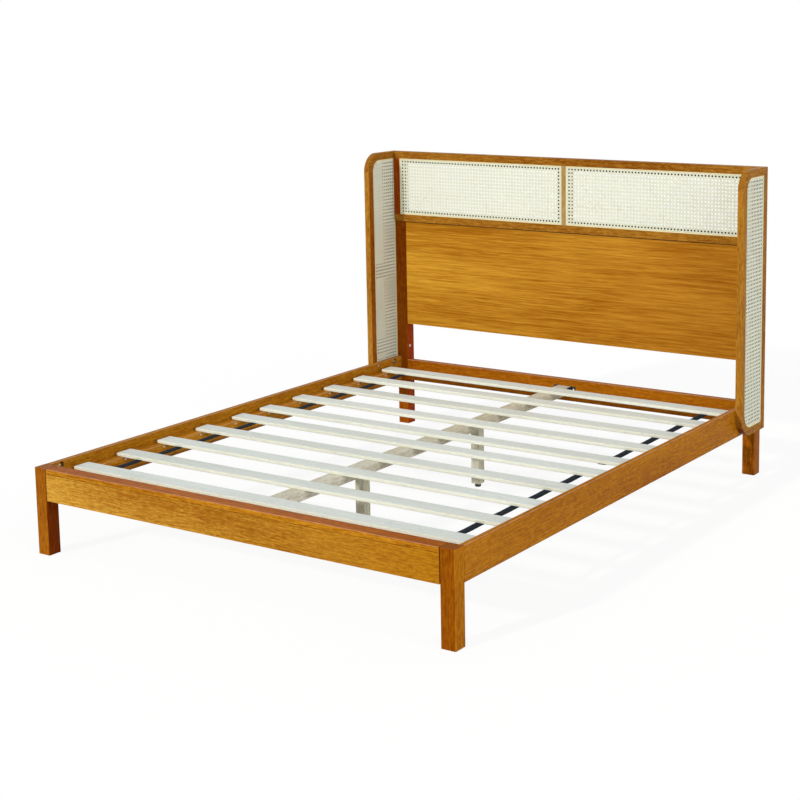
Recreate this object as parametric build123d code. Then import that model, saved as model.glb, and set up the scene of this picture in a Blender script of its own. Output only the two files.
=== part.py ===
from build123d import *
import os

# Platform bed frame with a winged cane headboard.
# X runs to the right as seen from the foot, +Y to the headboard, Z up.
# The origin is on the floor, under the middle of the whole bed.

# Mattress and the room round it
mattress_width = 1600.0
mattress_length = 2000.0
side_clearance = 17.0
end_clearance = 10.0

# Legs and rails
leg_size = 50.0
edge_break = 1.2
rail_top = 297.0
rail_height = 109.0
rail_thickness = 18.0
foot_board_thickness = 25.0
foot_cap_thickness = 18.0
foot_gap_left = 0.5
foot_gap_right = 3.0
head_rail_drop = 12.0
head_rail_height = 89.0
head_rail_thickness = 25.0

# Ledgers, slats and webbing
ledger_width = 45.0
ledger_height = 45.0
ledger_end_gap = 68.0
slat_drop = 27.0
slat_width = 68.0
slat_thickness = 12.0
slat_break = 2.5
slat_end_gap = 15.0
slats_in_roll = 5
first_slat_offset = 126.0
last_slat_offset = 133.0
roll_gap = 161.0
strap_width = 30.0
strap_thickness = 1.6
strap_inset = 105.0
strap_end_margin = 12.0

# Centre beam, its hangers and its two support legs
beam_width = 60.0
beam_height = 30.0
hanger_plate = 2.0
hanger_depth = 32.0
hanger_ear = 18.0
hanger_fit = 0.2
support_size = 36.0
support_spacing = 720.0
support_shift = -10.0
support_clearance = 14.0

# Levelling glides, each on a screw in a threaded insert
glide_diameter = 24.0
glide_height = 8.0
glide_edge = 2.0
glide_screw = 8.0
glide_screw_length = 34.0
glide_running = 0.06
insert_wall = 2.0
insert_length = 20.0
insert_flange = 20.0
insert_flange_thickness = 1.5

# Headboard
headboard_top = 1187.0
frame_bottom = 889.0
frame_proud = 6.0
frame_depth = 36.0
frame_width = 29.0
frame_lip = 20.0
mullion_width = 18.0
panel_bottom = 443.0
panel_thickness = 12.0
panel_setback = 2.0
panel_shadow_gap = 4.0

# Wings
wing_thickness = 25.0
wing_depth = 214.0
wing_bottom = 186.0
wing_top_radius = 75.0
wing_bottom_radius = 88.0
wing_rim = 29.0
wing_tongue = 12.0
wing_rear_tongue = 62.0
wing_bar_height = 56.0
lower_bar_level = 327.0
upper_bar_level = 655.0

# Cane webbing, drawn as a coarse net
cane_thickness = 1.6
cane_recess = 2.4
cane_fit = 0.3
cane_border = 10.0
headboard_net_across = 43.0
headboard_net_up = 43.0
wing_net_across = 45.0
wing_net_up = 56.0
net_gap_share = 0.58

# Bolts that join rails to legs, each pulled up by a nut in a round pocket
fastener_sides = 8
bolt_diameter = 6.0
bolt_fit = 0.2
bolt_in_leg = 28.0
pocket_diameter = 26.0
pocket_floor = 3.0
pocket_offset = 50.0
upper_bolt_drop = 16.0
lower_bolt_rise = 43.0
cross_bolt_rise = 44.0
washer_height = 9.0
washer_chord = 4.0
washer_fit = 0.3
washer_sides = 24
nut_flats = 10.0
nut_height = 5.0
bolt_overhang = 3.0

# Bolts that hold the wings
lowest_wing_bolt = 343.0
middle_wing_bolt = 560.0
highest_wing_bolt = 800.0
wing_bolt_gap = 6.0
wing_bolt_head = 11.0
wing_bolt_head_height = 4.0
wing_bolt_grip = 15.0

# Places worked out from the sizes above
inner_half = mattress_width / 2 + side_clearance
half_width = inner_half + rail_thickness
recess_length = mattress_length + 2 * end_clearance
half_length = recess_length / 2 + leg_size
foot_y = -half_length
recess_front = foot_y + leg_size
head_y = half_length - leg_size
rail_bottom = rail_top - rail_height
slat_top = rail_top - slat_drop
slat_bottom = slat_top - slat_thickness
leg_inner = half_width - leg_size
head_rail_top = rail_top - head_rail_drop
head_rail_bottom = head_rail_top - head_rail_height
frame_front = head_y - frame_proud
frame_back = frame_front + frame_depth
wing_back = frame_back
wing_front = wing_back - wing_depth
cane_depth = cane_recess + cane_thickness
slats_room = recess_length - first_slat_offset - last_slat_offset
slat_pitch = (slats_room - roll_gap) / (2 * (slats_in_roll - 1))
bolt_levels = (rail_top - upper_bolt_drop, rail_bottom + lower_bolt_rise)
foot_bolt_level = rail_bottom + cross_bolt_rise
head_bolt_level = head_rail_bottom + cross_bolt_rise
cap_bottom = rail_top - foot_cap_thickness
foot_left = -leg_inner + foot_gap_left
foot_right = leg_inner - foot_gap_right
beam_foot = foot_y + foot_board_thickness
beam_head = head_y
hanger_backs = ((beam_foot, 1), (beam_head, -1))
beam_bottom = slat_bottom - beam_height
insert_outer = glide_screw + 2 * glide_running + 2 * insert_wall
bay_outer = half_width - frame_width
support_places = (
    ("front", support_shift - support_spacing / 2),
    ("rear", support_shift + support_spacing / 2),
)
wing_bar_levels = (lower_bar_level, upper_bar_level)
wing_bolt_levels = (lowest_wing_bolt, middle_wing_bolt, highest_wing_bolt)
sides = (("left", -1), ("right", 1))


def block(x0, x1, y0, y1, z0, z1):
    """Box between two corners."""
    size = (abs(x1 - x0), abs(y1 - y0), abs(z1 - z0))
    centre = ((x0 + x1) / 2, (y0 + y1) / 2, (z0 + z1) / 2)
    return Pos(*centre) * Box(*size)


def eased(body, axis, size=edge_break):
    """Break the long edges that run along one axis."""
    return chamfer(body.edges().filter_by(axis), size)


def small_round(diameter):
    """Section of a small round fastener, drawn with few sides."""
    return RegularPolygon(diameter / 2, fastener_sides, major_radius=False)


def rod(start, end, diameter):
    """Round bar between two points."""
    a = Vector(*start)
    b = Vector(*end)
    plane = Plane(origin=a, z_dir=b - a)
    return plane * extrude(small_round(diameter), (b - a).length)


def joined(bodies):
    """Several separate solids kept together under one name."""
    return Compound(children=list(bodies))


# Corner fastening: a bolt in the leg, a half-moon washer and a nut in a round pocket.
# Each joint has its own plane: x points to the leg, z out of the pocket.


def side_joint(side, level, at_head):
    """Joint plane between a side rail and a front or rear leg."""
    y = head_y - pocket_offset if at_head else recess_front + pocket_offset
    to_leg = 1 if at_head else -1
    return Plane(origin=(side * inner_half, y, level), x_dir=(0, to_leg, 0), z_dir=(-side, 0, 0))


def cross_joint(side, level, back):
    """Joint plane between a rail across the bed and the leg at one end of it."""
    x = side * (leg_inner - pocket_offset)
    return Plane(origin=(x, back, level), x_dir=(side, 0, 0), z_dir=(0, 1, 0))


def side_rail_joints(side):
    """The four joints of one side rail."""
    return [side_joint(side, level, at_head) for level in bolt_levels for at_head in (False, True)]


def foot_joint(side):
    """The joint at one end of the foot board."""
    return cross_joint(side, foot_bolt_level, foot_y + foot_board_thickness)


def head_joint(side):
    """The joint at one end of the head rail."""
    return cross_joint(side, head_bolt_level, head_y + head_rail_thickness)


def bolt_bore(joint, thickness, fit=bolt_fit):
    """Hole for a bolt, from its pocket into the leg."""
    reach = pocket_offset + foot_gap_right + bolt_in_leg
    start = joint * Pos(0, 0, -thickness / 2) * Rot(0, 90, 0)
    return start * extrude(small_round(bolt_diameter + 2 * fit), reach)


def leg_bore(joint, thickness):
    """Tapped hole in a leg, which the bolt fills."""
    return bolt_bore(joint, thickness, 0)


def bolt_pocket(joint, thickness):
    """Round pocket that leaves a floor behind it."""
    return joint * extrude(Circle(pocket_diameter / 2), pocket_floor - thickness)


def corner_bolt(joint, thickness):
    """Headless bolt that is screwed into the leg."""
    back = nut_height + bolt_overhang - washer_chord
    start = joint * Pos(-back, 0, -thickness / 2) * Rot(0, 90, 0)
    return start * extrude(small_round(bolt_diameter), back + pocket_offset + bolt_in_leg)


def half_moon_washer(joint, thickness):
    """Slice of a many-sided disc that seats on the pocket's wall, bored for the bolt."""
    radius = pocket_diameter / 2 - washer_fit
    start = joint * Pos(0, 0, -thickness / 2 - washer_height / 2)
    disc = start * extrude(RegularPolygon(radius, washer_sides), washer_height)
    cut_away = start * Pos(washer_chord - 2 * radius, 0, 0) * Box(4 * radius, 4 * radius, 4 * washer_height)
    return disc - cut_away - bolt_bore(joint, thickness)


def hex_nut(joint, thickness):
    """Hexagonal nut against the washer."""
    start = joint * Pos(washer_chord - nut_height, 0, -thickness / 2) * Rot(0, 90, 0)
    section = RegularPolygon(nut_flats / 2, 6, major_radius=False) - small_round(bolt_diameter)
    return start * extrude(section, nut_height)


def all_joints():
    """Every corner joint with the thickness of its rail."""
    places = []
    for _, side in sides:
        places += [(joint, rail_thickness) for joint in side_rail_joints(side)]
        places.append((foot_joint(side), foot_board_thickness))
        places.append((head_joint(side), head_rail_thickness))
    return places


def headed_screw(tip, seat, shank, head, head_height):
    """Plain screw: a shank up to the seat and a flat round head beyond it."""
    direction = (Vector(*seat) - Vector(*tip)).normalized()
    end = Vector(*seat) + direction * head_height
    return rod(tip, seat, shank) + rod(seat, (end.X, end.Y, end.Z), head)


# Legs


def front_leg(side):
    """Square front leg, as high as the rails."""
    leg = block(side * leg_inner, side * half_width, foot_y, recess_front, 0, rail_top)
    leg = eased(leg, Axis.Z)
    for joint in [side_joint(side, level, False) for level in bolt_levels]:
        leg -= leg_bore(joint, rail_thickness)
    return leg - leg_bore(foot_joint(side), foot_board_thickness)


def rear_leg(side):
    """Square rear leg, which carries the headboard's upper frame on its top."""
    leg = block(side * leg_inner, side * half_width, head_y, half_length, 0, frame_bottom)
    leg = eased(leg, Axis.Z)
    for joint in [side_joint(side, level, True) for level in bolt_levels]:
        leg -= leg_bore(joint, rail_thickness)
    leg -= leg_bore(head_joint(side), head_rail_thickness)
    for level in wing_bolt_levels:
        leg -= wing_bolt(side, level)
    return leg


# Rails


def side_rail(side):
    """Side rail with round pockets on its inner face, for the nuts."""
    rail = block(side * inner_half, side * half_width, recess_front, head_y, rail_bottom, rail_top)
    rail = eased(rail, Axis.Y)
    for joint in side_rail_joints(side):
        rail -= bolt_pocket(joint, rail_thickness)
        rail -= bolt_bore(joint, rail_thickness)
    return rail


def foot_board():
    """Board across the foot, under its cap."""
    board = block(foot_left, foot_right, foot_y, foot_y + foot_board_thickness, rail_bottom, cap_bottom)
    for _, side in sides:
        board -= bolt_pocket(foot_joint(side), foot_board_thickness)
        board -= bolt_bore(foot_joint(side), foot_board_thickness)
    return board


def foot_cap():
    """Cap strip over the foot board, as deep as the legs."""
    cap = block(foot_left, foot_right, foot_y, recess_front, cap_bottom, rail_top)
    return eased(cap, Axis.X)


def head_rail():
    """Rail across the head, between the rear legs."""
    back = head_y + head_rail_thickness
    rail = block(-leg_inner, leg_inner, head_y, back, head_rail_bottom, head_rail_top)
    rail = eased(rail, Axis.X)
    for _, side in sides:
        rail -= bolt_pocket(head_joint(side), head_rail_thickness)
        rail -= bolt_bore(head_joint(side), head_rail_thickness)
    return rail


# Slat base


def ledger(side):
    """Square cleat on a side rail's inner face, which the slat ends lie on."""
    bar = block(
        side * (inner_half - ledger_width),
        side * inner_half,
        recess_front + ledger_end_gap,
        head_y - ledger_end_gap,
        slat_bottom - ledger_height,
        slat_bottom,
    )
    return eased(bar, Axis.Y)


def slat_places():
    """Distances along the bed of the ten slats' middles, as two rolls of five."""
    steps = [slat_pitch * i for i in range(slats_in_roll)]
    foot_roll = [recess_front + first_slat_offset + step for step in steps]
    head_roll = [foot_roll[-1] + roll_gap + step for step in steps]
    return [foot_roll, head_roll]


def slat(place):
    """Flat pine slat with its long edges broken."""
    reach = inner_half - slat_end_gap
    board = block(-reach, reach, place - slat_width / 2, place + slat_width / 2, slat_bottom, slat_top)
    return eased(board, Axis.X, slat_break)


def webbing(side, places):
    """Strap of webbing under one end of a roll of slats."""
    middle = side * (inner_half - slat_end_gap - strap_inset)
    return block(
        middle - strap_width / 2,
        middle + strap_width / 2,
        places[0] - slat_width / 2 + strap_end_margin,
        places[-1] + slat_width / 2 - strap_end_margin,
        slat_bottom - strap_thickness,
        slat_bottom,
    )


# Centre beam


def centre_beam():
    """Beam under the slats' middles, from the foot board to the head rail."""
    half = beam_width / 2
    bar = block(-half, half, beam_foot + hanger_plate, beam_head - hanger_plate, beam_bottom, slat_bottom)
    return eased(bar, Axis.Y)


def beam_hanger(back, inward):
    """Steel hanger: a U that the beam's end drops into, with an ear on each side."""
    inside = beam_width / 2 + hanger_fit
    outside = inside + hanger_plate
    floor_top = beam_bottom
    front = back + inward * hanger_depth
    plate = back + inward * hanger_plate
    shape = block(-outside, outside, back, front, floor_top - hanger_plate, floor_top)
    for _, side in sides:
        shape += block(side * inside, side * outside, back, front, floor_top - hanger_plate, slat_bottom)
    reach = outside + hanger_ear
    return shape + block(-reach, reach, back, plate, floor_top - hanger_plate, slat_bottom)


def support_leg(place):
    """Square leg under the centre beam, bored for its threaded insert."""
    half = support_size / 2
    leg = block(-half, half, place - half, place + half, support_clearance, beam_bottom)
    leg = eased(leg, Axis.Z)
    foot = Pos(0, place, support_clearance)
    leg -= foot * extrude(small_round(insert_outer), insert_length)
    return leg - foot * extrude(Circle(glide_screw / 2 + glide_running), insert_length + glide_screw_length)


def threaded_insert(place):
    """Flanged sleeve in the foot of a support leg."""
    flange_bottom = support_clearance - insert_flange_thickness
    sleeve = Pos(0, place, support_clearance) * extrude(small_round(insert_outer), insert_length)
    foot = Pos(0, place, flange_bottom)
    flange = foot * extrude(small_round(insert_flange), insert_flange_thickness)
    depth = insert_length + insert_flange_thickness
    return sleeve + flange - foot * extrude(Circle(glide_screw / 2 + glide_running), depth)


def levelling_glide(place):
    """Round foot on a screw, turned about its own axis from one profile."""
    foot = glide_diameter / 2
    stem = glide_screw / 2
    with BuildSketch(Plane.XZ) as profile:
        with BuildLine():
            Polyline(
                (0, 0),
                (foot - glide_edge, 0),
                (foot, glide_edge),
                (foot, glide_height),
                (stem, glide_height),
                (stem, glide_height + glide_screw_length),
                (0, glide_height + glide_screw_length),
                (0, 0),
            )
        make_face()
    return Pos(0, place, 0) * revolve(profile.sketch, Axis.Z)


# Headboard


def frame_bar(x0, x1, z0, z1):
    """Full-depth bar of the upper frame."""
    return block(x0, x1, frame_front, frame_back, z0, z1)


def frame_lip_bar(x0, x1, z0, z1):
    """Lip behind the cane, set back from the frame's front."""
    return block(x0, x1, frame_front + cane_depth, frame_back, z0, z1)


def headboard_top_rail():
    """Top rail of the upper frame, with the lip that backs the cane."""
    low = headboard_top - frame_width
    rail = frame_bar(-half_width, half_width, low, headboard_top)
    rail = chamfer(rail.edges().filter_by(Axis.X).sort_by(Axis.Z)[-2:], edge_break)
    return rail + frame_lip_bar(-bay_outer, bay_outer, low - frame_lip, low)


def headboard_bottom_rail():
    """Bottom rail of the upper frame, with its lip."""
    high = frame_bottom + frame_width
    rail = frame_bar(-half_width, half_width, frame_bottom, high)
    return rail + frame_lip_bar(-bay_outer, bay_outer, high, high + frame_lip)


def headboard_stile(side):
    """Stile at one end of the upper frame, with its lip."""
    low = frame_bottom + frame_width
    high = headboard_top - frame_width
    stile = frame_bar(side * bay_outer, side * half_width, low, high)
    lip = frame_lip_bar(
        side * (bay_outer - frame_lip), side * bay_outer, low + frame_lip, high - frame_lip
    )
    return stile + lip


def headboard_mullion():
    """Thin upright between the two cane bays, with a lip on each side."""
    low = frame_bottom + frame_width
    high = headboard_top - frame_width
    half = mullion_width / 2
    bar = block(-half, half, frame_front, frame_front + cane_depth, low, high)
    wide = half + frame_lip
    return bar + frame_lip_bar(-wide, wide, low + frame_lip, high - frame_lip)


def lower_panel():
    """Plain veneered panel between the rear legs."""
    front = head_y + panel_setback
    top = frame_bottom - panel_shadow_gap
    return block(-leg_inner, leg_inner, front, front + panel_thickness, panel_bottom, top)


# Cane webbing


def net_rows(length, pitch):
    """Places of the gaps along one direction, about the middle."""
    count = int((length - 2 * cane_border) // pitch)
    return [(i - (count - 1) / 2) * pitch for i in range(count)]


def gap_corners(x, y, half_across, half_up):
    """The four corners of one gap."""
    turns = ((-1, -1), (1, -1), (1, 1), (-1, 1))
    return [Vector(x + sx * half_across, y + sy * half_up, 0) for sx, sy in turns]


def net_face(outline, length, height, across, up):
    """Flat cane sheet as one face with its gaps as inner wires."""
    half_across = across * net_gap_share / 2
    half_up = up * net_gap_share / 2
    margin = cane_border / 2
    wires = []
    for x in net_rows(length, across):
        for y in net_rows(height, up):
            reach = gap_corners(x, y, half_across + margin, half_up + margin)
            if all(outline.is_inside(corner) for corner in reach):
                wires.append(Wire.make_polygon(gap_corners(x, y, half_across, half_up), close=True))
    return outline.make_holes(wires)


def headboard_cane(side):
    """Cane sheet of one bay, seated on the lips."""
    length = bay_outer - mullion_width / 2 - 2 * cane_fit
    height = headboard_top - frame_bottom - 2 * frame_width - 2 * cane_fit
    outline = Face.make_rect(length, height)
    net = net_face(outline, length, height, headboard_net_across, headboard_net_up)
    middle = ((bay_outer + mullion_width / 2) / 2 * side, 0, (headboard_top + frame_bottom) / 2)
    plane = Plane(
        origin=(middle[0], frame_front + cane_depth, middle[2]), x_dir=(1, 0, 0), z_dir=(0, -1, 0)
    )
    return plane * extrude(net, cane_thickness, (0, 0, 1))


# Wings, drawn in the plane of the wing: x is depth along the bed, y is height


def wing_outline(inset):
    """Wing's outline, drawn in by a distance: square behind, round in front."""
    front = wing_front + inset
    back = wing_back - inset
    low = wing_bottom + inset
    high = headboard_top - inset
    top_radius = wing_top_radius - inset
    low_radius = wing_bottom_radius - inset
    with BuildSketch() as sketch:
        with BuildLine():
            Line((back, low), (front + low_radius, low))
            JernArc((front + low_radius, low), (-1, 0), low_radius, -90)
            Line((front, low + low_radius), (front, high - top_radius))
            JernArc((front, high - top_radius), (0, 1), top_radius, -90)
            Line((front + top_radius, high), (back, high))
            Line((back, high), (back, low))
        make_face()
    return sketch.sketch


def wing_plate(sketch, side, start, thickness):
    """Plate from a wing sketch, at a distance outside the rail's outer face."""
    near = half_width + start
    x = side * near if side > 0 else -(near + thickness)
    plane = Plane(origin=(x, 0, 0), x_dir=(0, 1, 0), z_dir=(1, 0, 0))
    return plane * extrude(sketch, thickness)


def wing_ring(side):
    """Whole rim of a wing, with the tongue that both cane sheets lie on."""
    rim = wing_outline(0) - wing_outline(wing_rim)
    tongue = wing_outline(wing_rim) - wing_outline(wing_rim + wing_tongue)
    ring = wing_plate(rim, side, 0, wing_thickness)
    return ring + wing_plate(tongue, side, cane_depth, wing_thickness - 2 * cane_depth)


def wing_zone(y0, y1, z0, z1):
    """Block that cuts one member out of the rim."""
    reach = half_width + 2 * wing_thickness
    return block(-reach, reach, y0, y1, z0, z1)


def wing_member(side, y0, y1, z0, z1):
    """Piece of the rim that lies in one zone, clear of the rear stile's tongue."""
    return (wing_ring(side) & wing_zone(y0, y1, z0, z1)) - rear_tongue(side)


def rear_tongue(side):
    """Wide tongue of the rear stile, between the cane sheets."""
    inner = wing_rim + wing_tongue
    return block(
        side * (half_width + cane_depth),
        side * (half_width + wing_thickness - cane_depth),
        wing_back - wing_rim - wing_rear_tongue,
        wing_back - wing_rim,
        wing_bottom + inner,
        headboard_top - inner,
    )


def wing_front_stile(side):
    """Straight front stile of a wing."""
    low = wing_bottom + wing_bottom_radius
    high = headboard_top - wing_top_radius
    return wing_member(side, wing_front, wing_front + wing_depth / 2, low, high)


def wing_top_arm(side):
    """Round corner and top rail of a wing, in one piece."""
    return wing_member(
        side, wing_front, wing_back - wing_rim, headboard_top - wing_top_radius, headboard_top
    )


def wing_bottom_arm(side):
    """Round corner and bottom rail of a wing, in one piece."""
    return wing_member(
        side, wing_front, wing_back - wing_rim, wing_bottom, wing_bottom + wing_bottom_radius
    )


def wing_rear_stile(side):
    """Rear stile of a wing, with a wide tongue between the cane sheets."""
    visible = block(
        side * half_width,
        side * (half_width + wing_thickness),
        wing_back - wing_rim,
        wing_back,
        wing_bottom,
        headboard_top,
    )
    stile = visible + rear_tongue(side)
    for level in wing_bolt_levels:
        stile -= wing_bolt(side, level)
    return stile


def wing_bars(side):
    """Two bars between the cane sheets, from the front stile to the rear one."""
    bars = []
    for level in wing_bar_levels:
        bars.append(
            block(
                side * (half_width + cane_depth),
                side * (half_width + wing_thickness - cane_depth),
                wing_front + wing_rim + wing_tongue,
                wing_back - wing_rim - wing_rear_tongue,
                level,
                level + wing_bar_height,
            )
        )
    return joined(bars)


def wing_cane(side, outer):
    """Cane sheet on one face of a wing."""
    outline = wing_outline(wing_rim + cane_fit).faces()[0]
    middle_y = (wing_front + wing_back) / 2
    middle_z = (wing_bottom + headboard_top) / 2
    centred = Pos(-middle_y, -middle_z, 0) * outline
    length = wing_depth - 2 * wing_rim
    height = headboard_top - wing_bottom - 2 * wing_rim
    net = net_face(centred, length, height, wing_net_across, wing_net_up)
    near = wing_thickness - cane_depth if outer else cane_recess
    sheet = Pos(middle_y, middle_z, 0) * net
    return wing_plate(sheet, side, near, cane_thickness)


def wing_bolt(side, level):
    """Bolt through a rear leg into a wing's rear stile, its head sunk in the leg."""
    y = head_y + panel_setback + panel_thickness + wing_bolt_gap
    seat = (side * (leg_inner + wing_bolt_head_height), y, level)
    tip = (side * (half_width + wing_bolt_grip), y, level)
    return headed_screw(tip, seat, bolt_diameter, wing_bolt_head, wing_bolt_head_height)


# Every piece under its own name


def pieces():
    """All the bed's pieces, by name."""
    parts = {}
    for name, side in sides:
        parts[name + "_front_leg"] = front_leg(side)
        parts[name + "_rear_leg"] = rear_leg(side)
        parts[name + "_side_rail"] = side_rail(side)
        parts[name + "_ledger"] = ledger(side)
        parts[name + "_headboard_stile"] = headboard_stile(side)
        parts[name + "_headboard_cane"] = headboard_cane(side)
        parts[name + "_wing_front_stile"] = wing_front_stile(side)
        parts[name + "_wing_top_arm"] = wing_top_arm(side)
        parts[name + "_wing_bottom_arm"] = wing_bottom_arm(side)
        parts[name + "_wing_rear_stile"] = wing_rear_stile(side)
        parts[name + "_wing_bars"] = wing_bars(side)
        parts[name + "_wing_inner_cane"] = wing_cane(side, False)
        parts[name + "_wing_outer_cane"] = wing_cane(side, True)
    parts["foot_board"] = foot_board()
    parts["foot_cap"] = foot_cap()
    parts["head_rail"] = head_rail()
    parts["headboard_top_rail"] = headboard_top_rail()
    parts["headboard_bottom_rail"] = headboard_bottom_rail()
    parts["headboard_mullion"] = headboard_mullion()
    parts["headboard_lower_panel"] = lower_panel()
    parts["centre_beam"] = centre_beam()
    parts["beam_hangers"] = joined(beam_hanger(back, inward) for back, inward in hanger_backs)
    number = 0
    for roll_name, roll in zip(("foot", "head"), slat_places()):
        for place in roll:
            number += 1
            parts["slat_%02d" % number] = slat(place)
        parts[roll_name + "_roll_webbing"] = joined(webbing(side, roll) for _, side in sides)
    for name, place in support_places:
        parts[name + "_support_leg"] = support_leg(place)
        parts[name + "_threaded_insert"] = threaded_insert(place)
        parts[name + "_levelling_glide"] = levelling_glide(place)
    joints = all_joints()
    parts["corner_bolts"] = joined(corner_bolt(joint, thickness) for joint, thickness in joints)
    parts["corner_washers"] = joined(half_moon_washer(joint, thickness) for joint, thickness in joints)
    parts["corner_nuts"] = joined(hex_nut(joint, thickness) for joint, thickness in joints)
    parts["wing_bolts"] = joined(
        wing_bolt(side, level) for _, side in sides for level in wing_bolt_levels
    )
    return parts


os.makedirs("parts", exist_ok=True)
for node, shape in pieces().items():
    export_step(shape, "parts/" + node + ".step")
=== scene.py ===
import math

import bpy
import numpy as np
from bpy.props import FloatProperty, FloatVectorProperty, IntProperty, PointerProperty
from mathutils import Matrix, Vector


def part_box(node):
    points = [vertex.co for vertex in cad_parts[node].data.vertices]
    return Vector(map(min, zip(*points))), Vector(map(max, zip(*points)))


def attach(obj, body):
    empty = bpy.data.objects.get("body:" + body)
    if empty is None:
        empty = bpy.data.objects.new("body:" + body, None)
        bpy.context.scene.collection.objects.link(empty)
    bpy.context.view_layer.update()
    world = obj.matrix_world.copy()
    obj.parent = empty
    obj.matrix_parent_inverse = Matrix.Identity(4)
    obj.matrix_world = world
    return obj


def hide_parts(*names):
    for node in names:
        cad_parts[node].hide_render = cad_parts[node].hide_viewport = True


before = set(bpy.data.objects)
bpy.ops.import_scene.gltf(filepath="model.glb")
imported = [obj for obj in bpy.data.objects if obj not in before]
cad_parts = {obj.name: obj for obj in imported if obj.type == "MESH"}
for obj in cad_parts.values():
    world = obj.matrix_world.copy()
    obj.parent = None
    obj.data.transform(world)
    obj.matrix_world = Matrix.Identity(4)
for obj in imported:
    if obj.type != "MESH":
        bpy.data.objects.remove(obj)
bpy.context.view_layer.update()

bl_info = {
    "name": "Cane bed frame",
    "version": (1, 0, 0),
    "blender": (4, 5, 0),
    "location": "3D View > Sidebar > Bed",
    "description": "Woven cane, webbing, screws and wood finishes of a platform bed frame",
    "category": "Object",
}

BODY = "bed"
SIDES = (("left", -1), ("right", 1))
MM = 0.001


# Settings that a user would change


def a_length(name, text, millimetres):
    """A length, given in millimetres."""
    return FloatProperty(name=name, description=text, default=millimetres * MM, unit="LENGTH")


def a_number(name, text, value, **limits):
    """A number without a unit."""
    return FloatProperty(name=name, description=text, default=value, **limits)


def a_colour(name, text, value):
    """A colour of the wood."""
    return FloatVectorProperty(
        name=name, description=text, default=value, subtype="COLOR", size=3, min=0, max=1)


class BedWood(bpy.types.PropertyGroup):
    """Colours and gloss of the woods."""

    honey_light: a_colour("Honey, light grain", "Early wood of the lacquered oak", (0.545, 0.255, 0.016))
    honey_dark: a_colour("Honey, dark grain", "Late wood of the lacquered oak", (0.275, 0.086, 0.002))
    frame_light: a_colour("Frame, light grain", "Early wood of the browner cane frames", (0.46, 0.215, 0.026))
    frame_dark: a_colour("Frame, dark grain", "Late wood of the browner cane frames", (0.19, 0.052, 0.002))
    slat_light: a_colour("Slats, light grain", "Early wood of the pine slats", (0.8, 0.855, 0.83))
    slat_dark: a_colour("Slats, dark grain", "Late wood of the pine slats", (0.62, 0.655, 0.61))
    beam_light: a_colour("Beam, light grain", "Early wood of the beam and support legs", (0.74, 0.73, 0.63))
    beam_dark: a_colour("Beam, dark grain", "Late wood of the beam and support legs", (0.44, 0.38, 0.26))
    lacquer_roughness: a_number("Lacquer roughness", "Roughness of the satin lacquer", 0.42, min=0.05, max=1)


class BedCane(bpy.types.PropertyGroup):
    """Sizes of the woven cane."""

    pitch: a_length("Pitch", "Distance between holes", 14.2)
    strand: a_length("Strand", "Width of an upright or level strand", 3.2)
    pair: a_length("Pair spacing", "Distance between the two strands of a pair", 4.3)
    slant: a_length("Slanting strand", "Width of a slanting strand", 3.2)
    thickness: a_length("Thickness", "Thickness of one strand", 0.4)
    edge: a_length("Edge band", "Width of the closed band round a sheet", 5.0)
    reed: a_length("Edge reed", "Width of the reed along the frame", 2.6)
    wing_top: a_length("Wing, upper corner", "Radius of a wing opening's upper front corner", 46.0)
    wing_bottom: a_length("Wing, lower corner", "Radius of a wing opening's lower front corner", 59.0)


class BedStraps(bpy.types.PropertyGroup):
    """Sizes of the webbing under the slats."""

    sag: a_length("Sag", "How far a strap hangs between two slats", 1.2)
    width: a_length("Width", "Width of the webbing", 30.0)
    thickness: a_length("Thickness", "Thickness of the webbing", 1.4)


class BedScrews(bpy.types.PropertyGroup):
    """Sizes of the small screws."""

    head: a_length("Head", "Diameter of a screw's head", 8.0)
    height: a_length("Head height", "Height of a screw's head", 2.2)
    plate: a_length("Plate", "Thickness of the beam's plates", 2.0)
    ledger_count: IntProperty(
        name="Screws in a ledger", description="Screws along each ledger", default=10, min=2, max=40)
    ledger_pitch: a_length("Ledger pitch", "Distance between a ledger's screws", 192.0)
    ledger_first: a_length("First ledger screw", "Place of the screw nearest the head", 829.0)


class BedStage(bpy.types.PropertyGroup):
    """Lights and camera."""

    key: a_number("Key light", "Strength of the key light", 1.85, min=0)
    fill: a_number("Fill light", "Strength of the soft light from the right", 1.2, min=0)
    ambient: a_number("Ambient light", "Strength of the light from all sides", 0.5, min=0)
    key_rise: a_number(
        "Key height", "Angle of the key light above the floor, in degrees", 27.0, min=0, max=90)
    lens: a_number("Lens", "Focal length in millimetres", 74.3247, min=10)
    shift_x: a_number("Shift across", "Camera shift across", -0.1)
    shift_y: a_number("Shift up", "Camera shift up", -0.1625)


def settings(kind):
    """The settings of one kind, as the scene holds them."""
    return getattr(bpy.context.scene, "bed_" + kind)


# Shader sums and finishes


def sum_node(operation, reflected=False):
    """A method that makes one Math node of a value and others, with the value last if reflected."""

    def method(self, *others):
        values = (*others, self) if reflected else (self, *others)
        return self.finish.node("ShaderNodeMath", {"operation": operation}, dict(enumerate(values)))

    return method


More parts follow.
